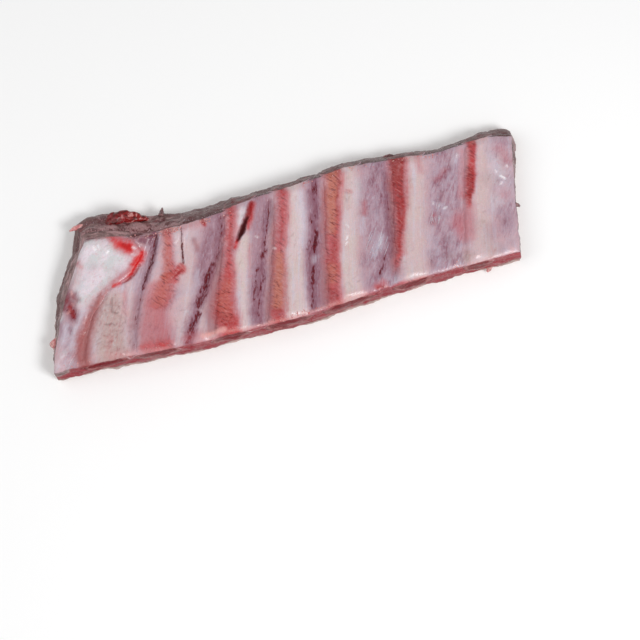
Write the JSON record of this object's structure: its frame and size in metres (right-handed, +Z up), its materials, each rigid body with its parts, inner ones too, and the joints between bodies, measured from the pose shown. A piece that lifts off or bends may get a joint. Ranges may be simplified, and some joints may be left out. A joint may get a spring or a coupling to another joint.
{
  "type": "raw pork ribs",
  "caption": "Strip of raw pork ribs lying bone side up, with rib bones, lean meat between and under them, a fat layer and a cartilage plate.",
  "frame": {"origin": "under the middle of the rack's box, on the surface that the rack lies on", "axes": "+X along the rack towards its squarer end, +Y across it towards the ragged thick edge, +Z up out of the bone side"},
  "size_m": [0.2512, 0.0774, 0.0193],
  "materials": {
    "lean_meat": "wet",
    "rib_bone": "wet membrane over bone",
    "fat": "greasy",
    "cartilage": "wet",
    "dark_meat": "wet"
  },
  "bodies": {
    "root": {"lean_meat": "lean_meat", "rib_bone_1": "rib_bone", "rib_bone_2": "rib_bone", "rib_bone_3": "rib_bone", "rib_bone_4": "rib_bone", "rib_bone_5": "rib_bone", "rib_bone_6": "rib_bone", "rib_bone_7": "rib_bone", "fat_cover": "fat", "breast_cartilage": "cartilage", "back_meat_lump": "dark_meat", "side_fat_scrap": "fat"}
  },
  "joints": []
}
